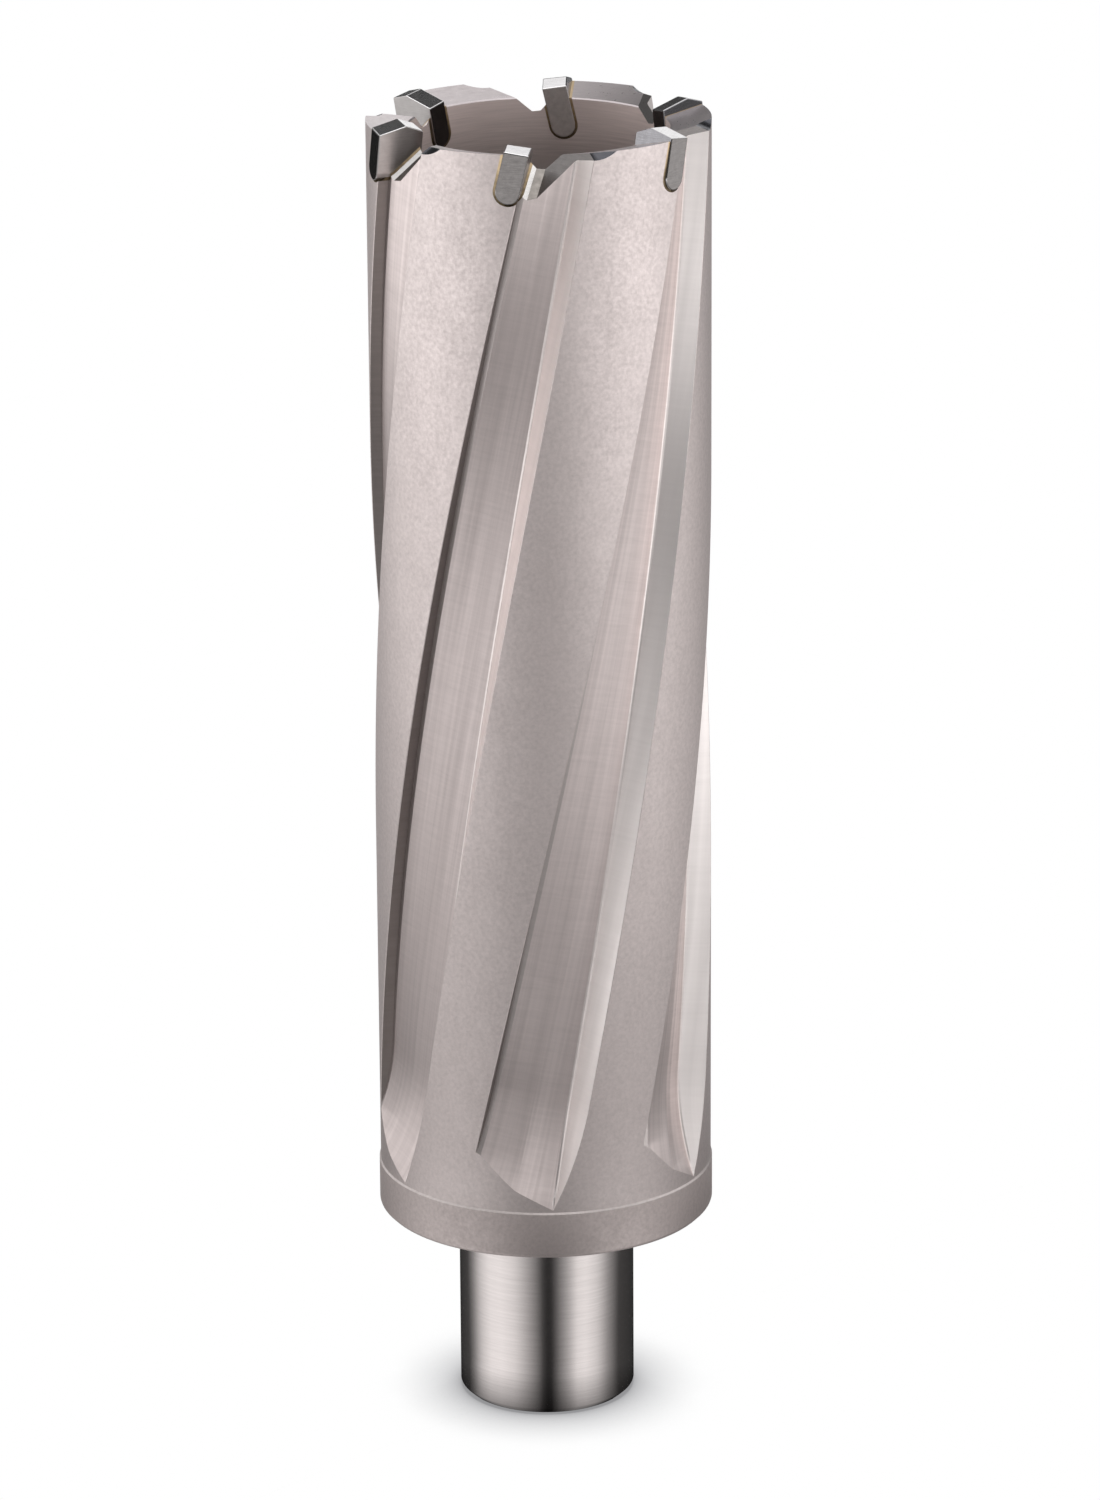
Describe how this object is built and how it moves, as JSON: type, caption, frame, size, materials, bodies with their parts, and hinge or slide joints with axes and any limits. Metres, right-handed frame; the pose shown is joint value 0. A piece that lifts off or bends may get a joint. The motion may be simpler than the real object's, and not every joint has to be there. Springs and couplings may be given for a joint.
{
  "type": "annular cutter",
  "caption": "Hollow annular cutter with a plain ground shank, a smooth collar, long helical flutes and brazed carbide tips round an open rim, for cutting a hole and leaving a core",
  "frame": {"origin": "centre of the shank's free end, on the cutter's axis, at the lowest point", "axes": "+Z runs along the cutter's axis from the shank to the teeth; -Y faces the viewer of the picture; +X is to the viewer's right"},
  "size_m": [0.0362, 0.0366, 0.1433],
  "materials": {
    "body_steel": "fine blasted body, ground bright on the shank",
    "carbide": "ground",
    "braze": "as brazed"
  },
  "bodies": {
    "root": {"cutter_body": "body_steel", "carbide_tip_1": "carbide", "carbide_tip_2": "carbide", "carbide_tip_3": "carbide", "carbide_tip_4": "carbide", "carbide_tip_5": "carbide", "carbide_tip_6": "carbide", "braze_seam_1": "braze", "braze_seam_2": "braze", "braze_seam_3": "braze", "braze_seam_4": "braze", "braze_seam_5": "braze", "braze_seam_6": "braze"}
  },
  "joints": []
}
